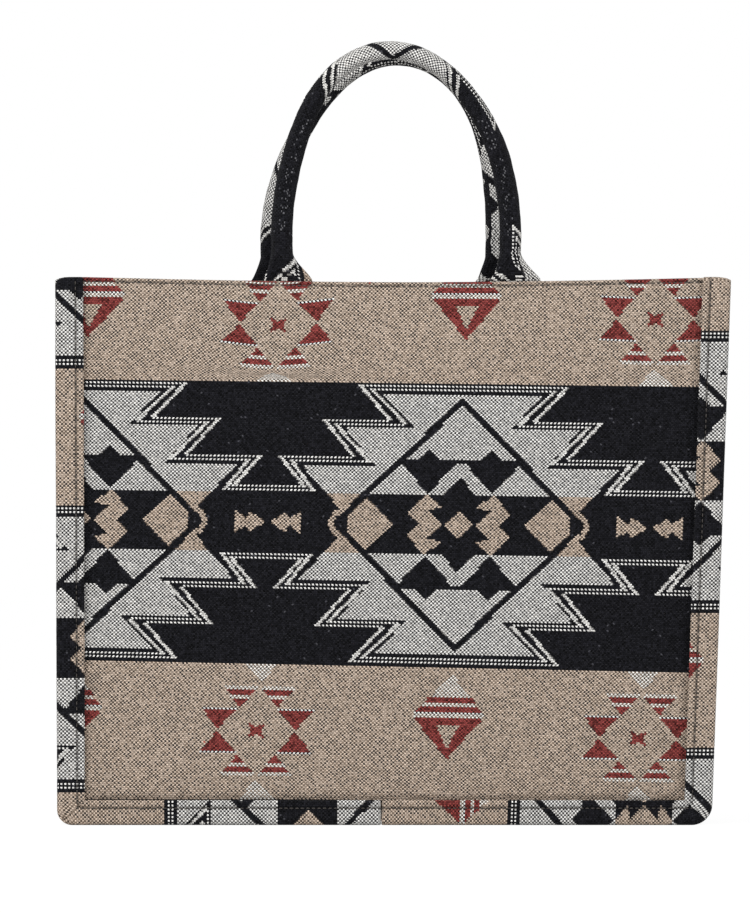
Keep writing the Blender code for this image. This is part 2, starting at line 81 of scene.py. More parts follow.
RING = [([(0, 36.6), (9, 36.6), (0, 26.2)], IVORY_ON_TAN),
        ([(0.6, 24), (18, 24), (18, 22), (0.6, 22)], IVORY_ON_TAN),
        ([(2, 22), (17.4, 22), (14.8, 19), (4.4, 19)], RED),
        ([(4.2, 19), (15, 19), (13.4, 17), (5.6, 17)], IVORY_ON_TAN),
        ([(6, 17), (13.6, 17), (9.7, 12.4)], RED), ([(20, 0.4), (11, 11), (28.4, 11)], RED),
        ([(10.5, 12), (29, 12), (29, 11), (10.5, 11)], DOTS),
        ([(0, -1), (0, 1.6), (4.2, 4.2), (2.6, 0), (2.6, -1)], RED)]
DROP = [([(0, 32.5), (10.5, 20), (-10.5, 20)], IVORY_ON_TAN),
        ([(-11.3, 20), (11.3, 20), (13, 17), (-13, 17)], RED),
        ([(-13, 17), (13, 17), (14.4, 15), (-14.4, 15)], IVORY_ON_TAN),
        ([(-15, 15), (15, 15), (17.2, 12), (-17.2, 12)], RED),
        ([(-18, 11), (18, 11), (18, 9), (-18, 9)], IVORY_ON_TAN),
        ([(-18, 12), (18, 12), (18, 11), (-18, 11)], DOTS),
        ([(-17.8, 9), (17.8, 9), (0, -13.3)], RED), ([(-6, 5.5), (6, 5.5), (0, -8)], TAN)]


def inside(corners, across, up):
    """True for each stitch that lies inside the outline."""
    found = np.zeros(across.shape, bool)
    for (x0, y0), (x1, y1) in zip(corners, corners[1:] + corners[:1]):
        if y0 != y1:
            crosses = (y0 > up) != (y1 > up)
            found ^= crosses & (across < (x1 - x0) * (up - y0) / (y1 - y0) + x0)
    return found


def near_line(start, end, across, up, width):
    """True for each stitch within half a width of a slanting line, measured along its row."""
    (x0, y0), (x1, y1) = start, end
    share = np.clip((up - y0) / (y1 - y0), 0, 1)
    within_rows = (up >= min(y0, y1)) & (up <= max(y0, y1))
    return within_rows & (np.abs(across - (x0 + (x1 - x0) * share)) <= width / 2)


def band(across, up):
    """The black band: stepped ivory fields, each with a diamond, a crown and a waist."""
    a, b = np.abs(across), np.abs(up)
    yarn = np.full(a.shape, BLACK)
    diamond = a / 65.5 + b / 69
    yarn[inside(FIELD, a, b)] = IVORY
    yarn[inside(FIELD, a, b) & (b < 16) & (diamond > 1)] = TAN
    for row, first, last in TIER_ROWS:
        yarn[(np.abs(b - row) < 0.4) & (a >= first) & (a <= last)] = DOTS
    for start, end in TIER_SLANTS:
        yarn[near_line(start, end, a, b, 2.2)] = LINE
    within = diamond <= 0.935
    yarn[within & (b < 16)] = BLACK
    yarn[within & (b >= 16)] = IVORY
    for shape in CROWN:
        yarn[inside(shape, a, b)] = BLACK
    yarn[inside(SIDE_DIAMOND, a, b)] = TAN
    yarn[inside(ZIGZAG, a, b)] = TAN
    yarn[a + b * 0.95 < 7.6] = TAN
    yarn[(diamond < 1) & (diamond > 0.935)] = BLACK
    yarn[(a > 56.5) & (a < 62) & (b < 4.5)] = BLACK
    yarn[(a + b * 0.45 > 64.5) & (a + b * 0.5 < 67.5) & (b < 7.5)] = TAN
    yarn[inside(ARROW, a, b) | inside(ARROW, REPEAT_ACROSS - a, b)] = TAN
    return yarn


def ground(across, up):
    """The tan ground between two bands, with its red figures; up is counted from its middle."""
    yarn = np.full(across.shape, TAN)
    a, b = REPEAT_ACROSS / 2 - np.abs(across), np.abs(up)
    for corners, colour in RING:
        yarn[inside(corners, a, b)] = colour
    for corners, colour in DROP:
        yarn[inside(corners, across, up)] = colour
    return yarn


def chart(across, up):
    """The yarn that the figure shows, for stitches and rows counted from a big diamond."""
    across = (across + REPEAT_ACROSS / 2) % REPEAT_ACROSS - REPEAT_ACROSS / 2
    up = (up + BAND_HALF) % REPEAT_UP - BAND_HALF
    return np.where(up < BAND_HALF, band(across, up), ground(across, up - REPEAT_UP / 2))


def chart_on_wall(x, z):
    """The chart's yarn at a place on a wall where the cloth lies straight."""
    return chart((x - FIGURE_X) / STITCH, (z - FIGURE_Z) / ROW)


OVER = np.array([(0.015, 0.015, 0.018), (0.80, 0.79, 0.76), (0.63, 0.51, 0.41),
                 (0.30, 0.062, 0.056), (0.86, 0.85, 0.82), (0.84, 0.81, 0.76), (0.80, 0.79, 0.76),
                 (0.13, 0.13, 0.14)])
# Colours of the stitches not on top: the other yarn in the gaps, darkened with painted shade.
UNDER_IN_GAP_SHADE = np.array([(0.009, 0.009, 0.012), (0.048, 0.047, 0.050), (0.15, 0.112, 0.085),
                  (0.13, 0.028, 0.026), (0.012, 0.012, 0.014), (0.16, 0.12, 0.09),
                  (0.42, 0.41, 0.39), (0.010, 0.010, 0.012)])
LUCK = np.random.default_rng(7).random((512, 512, 3))


def dyed(code, column, row):
    """The yarn colour seen at each stitch, with the luck of the dye, lint and worn spots."""
    luck = LUCK[column % 512, row % 512]
    on_top = (column + row) % 2 == 0
    # Stitches not on top take the gap colours, which hold painted shade.
    colour = np.where(on_top[..., None], OVER[code], UNDER_IN_GAP_SHADE[code])
    spread = np.where(on_top, 0.36, 1.5)[..., None]
    colour = colour * (1 + spread * (luck[..., :1] - 0.5))
    colour = colour * (0.93 + 0.14 * LUCK[(column // 4) % 512, row % 512, 2:])
    grey, dark = luck[..., 1], luck[..., 2]
    crossing = (code == TAN) & ~on_top
    colour[crossing & (grey > 0.68)] = (0.036, 0.031, 0.030)
    colour[crossing & (grey < 0.16)] = (0.34, 0.27, 0.22)
    colour[(code == BLACK) & (dark < 0.5)] *= 0.6
    colour[(code == BLACK) & (dark > 0.996)] = (0.06, 0.06, 0.07)
    colour[(code == RED) & (dark < 0.2)] *= 0.5
    colour[(code == TAN) & (dark > 0.99993)] = (0.45, 0.08, 0.06)
    colour[(code == IVORY) & ~on_top & (grey < 0.2)] = (0.22, 0.21, 0.20)
    return colour


def cloth_body(name, rings, stitches, code, material, shade=1.0):
    """A closed piece of cloth through rings of points, one ring after another, its ends closed.
    stitches gives each point's place in stitches and rows; code gives each cell's yarn, and shade is
    painted shade that darkens the cells along a seam's groove."""
    spans, around = rings.shape[0] - 1, rings.shape[1]
    s, p = np.meshgrid(np.arange(spans), np.arange(around), indexing="ij")
    after = (p + 1) % around
    cells = np.stack([s * around + p, s * around + after, (s + 1) * around + after,
                      (s + 1) * around + p], -1).reshape(-1, 4)
    corners = np.stack([stitches[s, p], stitches[s, p + 1], stitches[s + 1, p + 1],
                        stitches[s + 1, p]], 2)
    middle = np.floor(corners.mean(2)).astype(int)
    colour = dyed(code, middle[..., 0], middle[..., 1]) * np.reshape(shade, np.shape(shade) + (1,))
    caps = [np.arange(around)[::-1], spans * around + np.arange(around)]
    loops = np.concatenate([cells.ravel(), *caps])
    starts = np.concatenate([np.arange(len(cells)) * 4, [cells.size, cells.size + around]])
    mesh = bpy.data.meshes.new(name)
    mesh.vertices.add(rings.shape[0] * around)
    mesh.vertices.foreach_set("co", rings.astype(np.float32).ravel())
    mesh.loops.add(len(loops))
    mesh.loops.foreach_set("vertex_index", loops.astype(np.int32))
    mesh.polygons.add(len(starts))
    mesh.polygons.foreach_set("loop_start", starts.astype(np.int32))
    mesh.update(calc_edges=True)
    place = np.zeros((len(loops), 2), np.float32)
    place[:cells.size] = corners.reshape(-1, 2)
    painted = np.full((len(loops), 4), 0.03, np.float32)
    painted[:, 3] = 1.0
    painted[:cells.size, :3] = np.repeat(colour.reshape(-1, 3), 4, axis=0)
    painted[cells.size:cells.size + around, :3] = colour[0].mean(0)
    painted[cells.size + around:, :3] = colour[-1].mean(0)
    mesh.uv_layers.new(name="stitch").data.foreach_set("uv", place.ravel())
    mesh.color_attributes.new("yarn", "FLOAT_COLOR", "CORNER").data.foreach_set(
        "color", painted.ravel())
    flat = rings.reshape(-1, 3)
    a, b, c, d = (flat[cells[:, k]] for k in range(4))
    volume = (np.cross(a, b) * c).sum() + (np.cross(a, c) * d).sum()
    for cap in caps:
        fan = flat[cap]
        volume += (np.cross(fan[0], fan[1:-1]) * fan[2:]).sum()
    if volume < 0:
        mesh.flip_normals()
    mesh.shade_smooth()
    mesh.set_sharp_from_angle(angle=math.radians(65))
    mesh.materials.append(material)
    made = bpy.data.objects.new(name, mesh)
    bpy.context.scene.collection.objects.link(made)
    return made


def woven_yarn():
    """Node group: each stitch is a rounded bump of spun yarn that leans one way, then the other; its
    colour is darkened with painted shade towards the gaps between stitches.
    """
    tree = bpy.data.node_groups.new("woven_yarn", "ShaderNodeTree")
    for label, kind in (("Stitches", "NodeSocketVector"), ("Yarn", "NodeSocketColor"),
                        ("Gap shade", "NodeSocketFloat"), ("Fibre", "NodeSocketFloat")):
        tree.interface.new_socket(name=label, in_out="INPUT", socket_type=kind)
    for label, kind in (("Colour", "NodeSocketColor"), ("Height", "NodeSocketFloat")):
        tree.interface.new_socket(name=label, in_out="OUTPUT", socket_type=kind)
    add, join = tree.nodes.new, tree.links.new
    given, out = add("NodeGroupInput"), add("NodeGroupOutput")

    def maths(operation, first, second=None):
        node = add("ShaderNodeMath")
        node.operation = operation
        for socket, value in zip(node.inputs, (first, second)):
            if isinstance(value, (int, float)):
                socket.default_value = value
            elif value is not None:
                join(value, socket)
        return node.outputs[0]

    split = add("ShaderNodeSeparateXYZ")
    join(given.outputs["Stitches"], split.inputs[0])
    squares, steps = [], []
    for axis in ("X", "Y"):
        offset = maths("SUBTRACT", maths("FRACT", split.outputs[axis]), 0.5)
        squares.append(maths("MULTIPLY", offset, offset))
        steps.append(maths("FLOOR", split.outputs[axis]))
    turn = maths("FLOORED_MODULO", maths("ADD", *steps), 2.0)
    lean = maths("SUBTRACT", maths("MULTIPLY", turn, 2.0), 1.0)
    roundness = maths("MULTIPLY", maths("ADD", *squares), 4.0)
    slant = maths("MULTIPLY", maths("MULTIPLY", maths("SUBTRACT", *squares), 1.6), lean)
    dome = maths("SUBTRACT", maths("SUBTRACT", 1.0, roundness), slant)
    fibres = add("ShaderNodeTexNoise")
    fibres.inputs["Scale"].default_value = 5.0
    fibres.inputs["Detail"].default_value = 3.0
    join(given.outputs["Stitches"], fibres.inputs["Vector"])
    strand = maths("MULTIPLY", maths("SUBTRACT", fibres.outputs[0], 0.5), given.outputs["Fibre"])
    join(maths("ADD", dome, strand), out.inputs["Height"])
    # Painted shade: the yarn's colour is darkened where the dome falls away towards the gaps between
    # stitches.
    edge = maths("MULTIPLY", maths("MAXIMUM", maths("SUBTRACT", 0.45, dome), 0.0),
                 given.outputs["Gap shade"])
    light = maths("MAXIMUM", maths("SUBTRACT", maths("ADD", 1.0, strand), edge), 0.25)
    shaded = add("ShaderNodeVectorMath")
    shaded.operation = "SCALE"
    join(given.outputs["Yarn"], shaded.inputs[0])
    join(light, shaded.inputs["Scale"])
    join(shaded.outputs[0], out.inputs["Colour"])
    return tree


WOVEN_YARN = woven_yarn()


def blanket_material(name, gap_shade, sheen):
    """Blanket cloth: the dyed yarn of each stitch, domed, fibrous, with a woolly sheen and painted shade
    in the gaps between stitches.
    """
    made = bpy.data.materials.new(name)
    made.use_nodes = True
    nodes, join = made.node_tree.nodes, made.node_tree.links.new
    shader = nodes["Principled BSDF"]
    weave = nodes.new("ShaderNodeGroup")
    weave.node_tree = WOVEN_YARN
    weave.inputs["Gap shade"].default_value = gap_shade
    weave.inputs["Fibre"].default_value = 0.5
    place = nodes.new("ShaderNodeUVMap")
    place.uv_map = "stitch"
    yarn = nodes.new("ShaderNodeVertexColor")
    yarn.layer_name = "yarn"
    join(place.outputs[0], weave.inputs["Stitches"])
    join(yarn.outputs["Color"], weave.inputs["Yarn"])
    join(weave.outputs["Colour"], shader.inputs["Base Color"])
    bump = nodes.new("ShaderNodeBump")
    bump.inputs["Strength"].default_value = 0.7
    bump.inputs["Distance"].default_value = 0.0003
    join(weave.outputs["Height"], bump.inputs["Height"])
    join(bump.outputs[0], shader.inputs["Normal"])
    shader.inputs["Roughness"].default_value = 0.9
    shader.inputs["Specular IOR Level"].default_value = 0.06
    shader.inputs["Sheen Weight"].default_value = sheen
    shader.inputs["Sheen Roughness"].default_value = 0.45
    return made


def side_x(side, z, inset=0.0):
    """X of the bag's left (-1) or right (+1) side at height z, moved in by inset."""
    lean = LEFT_LEAN if side < 0 else RIGHT_LEAN
    return side * (TOP_WIDTH / 2 - lean * (1 - z / HEIGHT) - inset)


def top_edge(x):
    """Height of the top edge: it hangs a little between the stiff corners."""
    return HEIGHT - 0.0014 + 0.0032 * np.clip(np.abs(x - 0.010) / 0.200, 0, 1) ** 1.7


def waves(x, z, seed):
    """Slow swells of the cloth over its board, from -1 to 1."""
    turns = np.random.default_rng(seed).random((5, 3)) * math.tau
    return sum(np.sin(x * (18 + 9 * k) * math.cos(a) + z * (18 + 9 * k) * math.sin(a) + c)
               for k, (a, _, c) in enumerate(turns)) / 5


def jitter(shape, seed, reach):
    return (np.random.default_rng(seed).random(shape) - 0.5) * 2 * reach


def smooth(value):
    value = np.clip(value, 0, 1)
    return value * value * (3 - 2 * value)


def lay_of_cloth(column, row, skew):
    """Where each stitch lies on a wall if it went on past the hem. The front cloth is a little
    askew, and drawn down under the left foot of its handle."""
    rise, across = row * ROW, column * STITCH
    if not skew:
        return FIGURE_X + across, FIGURE_Z + rise
    shift = np.interp(rise, (-0.13, -0.088, 0.088, 0.13), (-0.0076, -0.0037, 0.0030, 0.0048))
    x = FIGURE_X + across * np.interp(rise, (0.088, 0.13), (1.0, 0.987)) + shift
    slope = np.interp(rise, (-0.172, -0.13, -0.086, 0.088, 0.13),
                      (0.010, 0.0217, 0.0205, 0.0125, 0.005))
    dip = 0.0067 * np.exp(-((x + 0.074) / 0.045) ** 2)
    dip += 0.0020 * np.exp(-((x - 0.162) / 0.040) ** 2)
    lift = 0.0014 * np.exp(-((x + 0.040) / 0.11) ** 2) * smooth((-0.150 - rise) / 0.015)
    return x, FIGURE_Z + rise - slope * across - dip * smooth((rise - 0.088) / 0.014) + lift


def hem_rows(code, z, top, seen):
    """Where a red figure meets the hem, one more red row shows along the fold."""
    edge = (z[:-1, :seen] > top[:-1, :seen] - HEM_ROW) & (code[:, :seen] == IVORY_ON_TAN)
    changed = code.copy()
    changed[:, :seen][edge] = RED
    return changed


def make_panel(name, out, seed):
    """The cloth of the front (out -1) or back (out 1) wall, from its hidden lower edge over its hem
    to its hidden end inside; each cell of the mesh is one stitch of the cloth."""
    column, row = np.meshgrid(np.arange(-201, 133), np.arange(-151, 145), indexing="ij")
    x, flat_z = lay_of_cloth(column, row, out < 0)
    x = x + np.where(row % 2 == 0, 0.24, -0.24) * STITCH
    left, right = side_x(-1, flat_z, SIDE_TUCK), side_x(1, flat_z, SIDE_TUCK)
    x = np.where(x < left, left + 0.02 * (x - left), x)
    x = np.where(x > right, right + 0.02 * (x - right), x)
    low = BASE_FLANGE - LOW_TUCK
    flat_z = np.where(flat_z < low, low + 0.05 * (flat_z - low), flat_z)
    top = top_edge(x)
    over = flat_z - (top - HEM_ROUND)
    bend = HEM_ROUND * math.pi / 2
    lip = PANEL_FACE - HEM_ROUND - LIP_END
    angle = np.clip(over, 0, bend) / HEM_ROUND
    inward = np.clip(over - bend, 0, lip)
    past = np.clip(over - bend - lip, 0, None)
    z = np.where(over < 0, flat_z, top - HEM_ROUND * (1 - np.sin(angle)))
    z = z - 0.0003 * smooth(inward / lip) - 0.03 * past
    from_side = np.minimum(x - side_x(-1, z, SIDE_FLANGE), side_x(1, z, SIDE_FLANGE) - x)
    from_frame = np.maximum(np.minimum(from_side, z - BASE_FLANGE), 0)
    middle = np.sin(math.pi * np.clip(z / HEIGHT, 0, 1)) * (over < 0)
    groove = np.exp(-((z - (top - HEM_SEAM_DROP)) / 0.0006) ** 2) * (over < 0)
    y = PANEL_FACE - HEM_ROUND * (1 - np.cos(angle)) - inward
    y = y + 0.0003 * waves(x, z, seed) * middle - SEAM_DEPTH * groove
    y = y - 0.0011 * np.exp(-(from_frame / 0.0024) ** 2) * (over < 0)
    y = y + jitter(y.shape, seed, 0.00006)
    for side in (-1, 1):
        foot = HANDLE_MIDDLE[out] + side * FOOT_SPACING / 2
        slit = np.abs(x - foot) < FOOT_WIDTH / 2 + 0.0006
        y = np.where(slit & (y < PANEL_BACK + 0.0002), PANEL_BACK + 0.0002, y)
    hidden = [(LIP_END + 0.0002, BOARD_TOP), (PANEL_BACK, BOARD_TOP), (PANEL_BACK, 0.0100)]
    count = x.shape[0]
    x = np.concatenate([x, x[:, -1:], x[:, -1:], x[:, :1]], 1)
    y = np.concatenate([y] + [np.full((count, 1), place[0]) for place in hidden], 1)
    z = np.concatenate([z] + [np.full((count, 1), place[1]) for place in hidden], 1)
    rows = np.arange(row[0, 0], row[0, 0] + x.shape[1] + 1)
    stitches = np.stack(np.meshgrid(column[:, 0], rows, indexing="ij"), -1).astype(float)
    code = chart(*np.meshgrid(column[:-1, 0] + 0.5, rows[:-1] + 0.5, indexing="ij"))
    # Painted shade: the cells along the hem seam's groove are darkened to half their brightness.
    line = np.zeros(x.shape)
    line[:, :groove.shape[1]] = groove
    code = hem_rows(code, z, top_edge(x), groove.shape[1])
    made = cloth_body(name + "_cloth", np.stack([x, out * y, z], -1), stitches, code,
                      blanket_material(name + "_cloth", 0.5, 0.03), 1 - 0.5 * line[:-1])
    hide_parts(name)
    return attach(made, "bag")


make_panel("front_panel", -1, 11)
make_panel("back_panel", 1, 12)


# Gusset strips. The same cloth cut lengthwise, folded so that a flange frames each panel, with a
# rolled outer corner and a row of topstitching 5 mm from the inner fold. The side strips meet the
# two base strips in a mitre at each lower corner, and the base strips join left of the middle.
LEFT_CORNER, RIGHT_CORNER = 0.0095, 0.0125
BASE_JOIN_X = -0.0074
FOLD_ROUND = 0.0014
CORNER_ROUND = 0.0030
GROOVE_FROM_FOLD = 0.0050
FLANGE_BACK, FLANGE_EDGE = 0.0797, 0.004
WALL_BACK, WALL_HALF, BOARD_HALF = 0.0023, 0.0709, 0.0731
STRIP_TOP = HEIGHT + 0.0018
BASE_GAP = 0.0001


def strip_section(width, wall_cell):
    """Points round the outside of a folded strip, as distance in from the outer side and Y, with
    the stitch count and the length of cloth from its middle at each, and the inward direction.
    The front flange has two points to a stitch, the back one, and the wall one to a wall_cell."""
    fold_y = HALF_DEPTH - FOLD_ROUND
    turns = np.radians(np.linspace(-90, 90, 9))
    fold = [(width - FOLD_ROUND + FOLD_ROUND * math.cos(a), fold_y + FOLD_ROUND * math.sin(a))
            for a in turns]
    corner = [(CORNER_ROUND - CORNER_ROUND * math.sin(a), HALF_DEPTH - CORNER_ROUND
               + CORNER_ROUND * math.cos(a)) for a in np.radians(np.linspace(0, 90, 7))]
    half = np.array([(width - FLANGE_EDGE, FLANGE_BACK)] + fold + corner)
    path = np.concatenate([half, half[::-1] * (1, -1)])
    length = np.concatenate([[0], np.cumsum(np.hypot(*np.diff(path, axis=0).T))])
    fine = length[len(half) - 1] + 0.001
    flange_count = round(fine / STITCH)
    wall_count = round((length[-1] - 2 * fine) / STITCH / wall_cell)
    marks = np.concatenate([np.linspace(0, fine, flange_count, endpoint=False),
                            np.linspace(fine, length[-1] - fine, wall_count, endpoint=False),
                            np.linspace(length[-1] - fine, length[-1], 2 * flange_count + 1)])
    steps = np.concatenate([np.ones(flange_count), np.full(wall_count, wall_cell),
                            np.full(2 * flange_count, 0.5)])
    count = np.concatenate([[0], np.cumsum(steps)])
    places = np.stack([np.interp(marks, length, path[:, k]) for k in (0, 1)], 1)
    ahead = np.gradient(places, axis=0)
    ahead /= np.linalg.norm(ahead, axis=1)[:, None]
    inward = np.stack([-ahead[:, 1], ahead[:, 0]], 1)
    groove = width - GROOVE_FROM_FOLD
    depth = np.exp(-((places[:, 0] - groove) / 0.0008) ** 2) * (np.abs(places[:, 1]) > fold_y)
    places += inward * 0.0007 * depth[:, None]
    return places, marks - length[-1] / 2, count, inward, depth


def make_strip(name, side, width, other_width, corner, span, to_world, cut, seed):
    """A folded strip. span is its full length along its outer side, and to_world puts a distance in
    from the outer side and one along it in the frame. cut gives where along it the chart's row 0
    lies, the rows' spacing and direction, and the chart's stitch at the inner fold."""
    origin, pitch, way, fold_stitch = cut
    rolled = name.endswith("gusset")
    section, run, count, inward, depth = strip_section(width, 1.0 if rolled else 3.0)
    wall = np.abs(section[:, 1]) < WALL_HALF
    rounding = 0.0012 if rolled else 0.0008
    hidden = np.array([(width - FLANGE_EDGE, -FLANGE_BACK), (WALL_BACK, -FLANGE_BACK),
                       (WALL_BACK, -BOARD_HALF), (WALL_BACK, -WALL_HALF), (WALL_BACK, WALL_HALF),
                       (WALL_BACK, BOARD_HALF), (WALL_BACK, FLANGE_BACK),
                       (width - FLANGE_EDGE, FLANGE_BACK)])
    last = (span - rounding - origin) * way / pitch
    first = (0.003 - origin) * way / pitch
    rows = np.arange(math.floor(min(first, last)), math.ceil(max(first, last)) + 1)[::way]
    steps = [(origin + way * r * pitch, 0.0, 0.0, r) for r in rows]
    end = [(rounding * math.sin(a), rounding * (1 - math.cos(a)))
           for a in np.radians((35, 65, 90))]
    end += [(rounding, rounding + k * 0.0009) for k in (1, 2, 3)] if rolled else []
    steps += [(span - rounding + rise, 1.0, pull, rows[-1] + way * (k + 1))
              for k, (rise, pull) in enumerate(end)]
    reach = np.where(wall & rolled, 0.0040, rounding)
    mitre_start = corner * (1 - math.sqrt(0.5))
    rings, along_all = [], []
    for along_at, at_end, pull, row in steps:
        offset = np.minimum(pull, reach + pull * 0.02)
        spot = section + inward * offset[:, None]
        inner = hidden.copy()
        if rolled and along_at > BOARD_TOP:
            inner[3:5, 0] = 0.0052
        base = np.concatenate([section[:, 0], hidden[:, 0]])
        spot = np.concatenate([spot, inner])
        mitre = mitre_start + (other_width - mitre_start) * np.clip(base / width, 0, 1)
        along = np.where(along_at < mitre, mitre - 0.02 * (mitre - along_at), along_at)
        limit = span - rounding
        along = np.where(along > limit, limit + at_end * (along - limit), along)
        along = along - 0.0015 * smooth((along - span + 0.006) / 0.006) * np.clip(
            1 - base / 0.010, 0, 1) ** 2 * rolled
        above = along - mitre + mitre_start
        soft = np.where(above < corner, corner - np.sqrt(np.maximum(
            corner ** 2 - (corner - above) ** 2, 0)), 0)
        w = spot[:, 0] + soft * np.clip(1 - base / width, 0, 1)
        rings.append(np.stack(to_world(w, along, spot[:, 1]), 1))
        along_all.append(along)
    rings, along_all = np.array(rings), np.array(along_all)
    seen = len(run)
    wobble = waves(rings[:, :seen, 1], along_all[:, :seen], seed)
    fade = np.clip(np.minimum(np.arange(len(steps)), np.arange(len(steps))[::-1]) / 12, 0, 1)
    sway = (0.0003 * wobble + jitter(wobble.shape, seed, 0.00005)) * fade[:, None]
    rings[:, :seen, 1] -= sway * inward[None, :, 1]
    rings[:, :seen, 0] += side * sway * inward[None, :, 0] * rolled
    lost = np.linspace(count[-1], count[-1] + 9, len(hidden) + 2)[1:]
    columns = np.broadcast_to(np.concatenate([count, lost]), (len(steps), seen + len(hidden) + 1))
    marks = np.array([step[3] for step in steps], float)[:, None] + 0 * columns
    cloth = np.concatenate([run, np.linspace(run[-1], run[0], len(hidden) + 2)[1:]])
    fold_run = run[-1] - FLANGE_EDGE + FOLD_ROUND - 0.5 * math.pi * FOLD_ROUND + 0.0013
    from_fold = (fold_run - np.abs((cloth[1:] + cloth[:-1]) / 2)) / STITCH
    across = fold_stitch(along_all[:-1]) + from_fold
    code = chart(np.floor(across) + 0.5, (marks[1:, :-1] + marks[:-1, :-1]) / 2)
    # Painted shade: the cells in the topstitch groove are darkened by up to 45%.
    shade = np.ones(code.shape)
    shade[:, :seen] -= 0.45 * depth[None, :]
    made = cloth_body(name + "_cloth", rings, np.stack([columns, marks], -1), code,
                      blanket_material(name + "_cloth", 0.5, 0.03), shade)
    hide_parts(name)
    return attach(made, "bag")


def side_strip(side):
    return lambda w, along, y: (side_x(side, along, w), y, along)


def base_strip(side):
    return lambda w, along, y: (side_x(side, w) - side * along, y, w)


make_strip(
    "left_gusset", -1, SIDE_FLANGE, BASE_FLANGE, LEFT_CORNER, STRIP_TOP, side_strip(-1),
    (0.3724, 0.001162, 1, lambda z: 12.6 + 23 * (0.3104 - z)), 21)
make_strip(
    "right_gusset", 1, SIDE_FLANGE, BASE_FLANGE, RIGHT_CORNER, STRIP_TOP, side_strip(1),
    (0.2195, 0.0011434, 1, lambda z: 13.5 + 23 * (z - 0.28)), 22)
LEFT_REACH = -side_x(-1, 0.0) + BASE_JOIN_X
RIGHT_REACH = side_x(1, 0.0) - BASE_JOIN_X
make_strip(
    "base_gusset_left", -1, BASE_FLANGE, SIDE_FLANGE, LEFT_CORNER, LEFT_REACH - BASE_GAP,
    base_strip(-1), (-0.0530 - side_x(-1, 0.0), 0.001154, 1,
                     lambda along: 24.5 + 57 * (along - 0.1072)), 23)
make_strip(
    "base_gusset_right", 1, BASE_FLANGE, SIDE_FLANGE, RIGHT_CORNER, RIGHT_REACH - BASE_GAP,
    base_strip(1), (side_x(1, 0.0) - 0.1552, 0.001098, -1, lambda along: 4.4 + 0 * along), 24)


# Facings and linings. Inside the top edge a band of the blanket cloth is sewn in as a facing; below
# it the bag is lined with plain black cotton, glued to the boards and a little slack at the base.
LINING_FACE, LINING_BACK = 0.0726, 0.0712
SIDE_LINING = 0.0054
FACING_LOW = 0.293
LINING_LOW = 0.0060


def wall_layer(name, place, length, low, high, cell, roll, material, dye, seed, slack):
    """A thin layer on an inside wall. place puts a share along the wall, a height and a depth
    behind its seen face in the frame; the top is rolled over by roll, and the back is plain."""
    count = max(round(length / cell), 2)
    rows = max(round((high - low - roll) / cell), 2)
    share = np.arange(count + 1) / count
    heights = [(low + (high - roll - low) * k / rows, 0.0) for k in range(rows + 1)]
    heights += [(high - roll * (1 - math.sin(a)), roll * (1 - math.cos(a)))
                for a in np.radians((35, 65, 90, 115, 150))]
    thick = LINING_FACE - LINING_BACK
    heights += [(high - roll - 0.001, thick), (low, thick)]
    z = np.array([h[0] for h in heights])[None, :] + 0 * share[:, None]
    depth = np.array([min(h[1], thick) for h in heights])[None, :] + 0 * z
    a = share[:, None] + 0 * z
    seen = np.arange(len(heights)) <= rows
    swell = np.clip(waves(a * length, z, seed), -1, 1) * slack
    edge = np.sin(math.pi * np.clip((z - low) / (high - low), 0, 1)) * np.sin(math.pi * a) ** 0.3
    depth = depth - np.where(seen[None, :], (swell + slack) * edge, 0)
    rings = np.stack(place(a, z, depth), -1)
    columns, marks = np.meshgrid(np.arange(len(share)), np.arange(len(heights) + 1), indexing="ij")
    stitches = np.stack([columns, marks], -1).astype(float) * cell / STITCH
    at = (rings[1:] + rings[:-1]) / 2
    made = cloth_body(name + "_cloth", rings, stitches, dye(at[..., 0], at[..., 1], at[..., 2]),
                      material)
    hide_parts(name)
    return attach(made, "bag")


def long_wall(out):
    """Places a layer on the inside of the front or back wall; its top follows the hem."""
    def place(share, z, depth):
        x = side_x(-1, z, SIDE_LINING) * (1 - share) + side_x(1, z, SIDE_LINING) * share
        lift = np.clip((z - 0.325) / 0.013, 0, 1) * (top_edge(x) - HEIGHT)
        return x, out * (LINING_BACK + depth), z + lift
    return place


def short_wall(side):
    def place(share, z, depth):
        y = (2 * share - 1) * (LINING_BACK - 0.0003)
        lift = np.clip((z - 0.325) / 0.013, 0, 1) * 0.0012
        return side_x(side, z, SIDE_LINING + LINING_FACE - LINING_BACK - depth), y, z + lift
    return place


def lining_material():
    """Plain black cotton: a fine even weave with a faint lustre, its threads darkened with painted shade
    in the gaps between them.
    """
    made = bpy.data.materials.new("black_lining")
    made.use_nodes = True
    nodes, join = made.node_tree.nodes, made.node_tree.links.new
    shader = nodes["Principled BSDF"]
    place = nodes.new("ShaderNodeUVMap")
    place.uv_map = "stitch"
    finer = nodes.new("ShaderNodeVectorMath")
    finer.operation = "SCALE"
    finer.inputs["Scale"].default_value = 3.0
    weave = nodes.new("ShaderNodeGroup")
    weave.node_tree = WOVEN_YARN
    weave.inputs["Yarn"].default_value = (0.022, 0.022, 0.025, 1.0)
    weave.inputs["Gap shade"].default_value = 0.6
    weave.inputs["Fibre"].default_value = 0.4
    join(place.outputs[0], finer.inputs[0])
    join(finer.outputs[0], weave.inputs["Stitches"])
    join(weave.outputs["Colour"], shader.inputs["Base Color"])
    bump = nodes.new("ShaderNodeBump")
    bump.inputs["Strength"].default_value = 0.4
    bump.inputs["Distance"].default_value = 0.0001
    join(weave.outputs["Height"], bump.inputs["Height"])
    join(bump.outputs[0], shader.inputs["Normal"])
    shader.inputs["Roughness"].default_value = 0.7
    shader.inputs["Sheen Weight"].default_value = 0.1
    return made


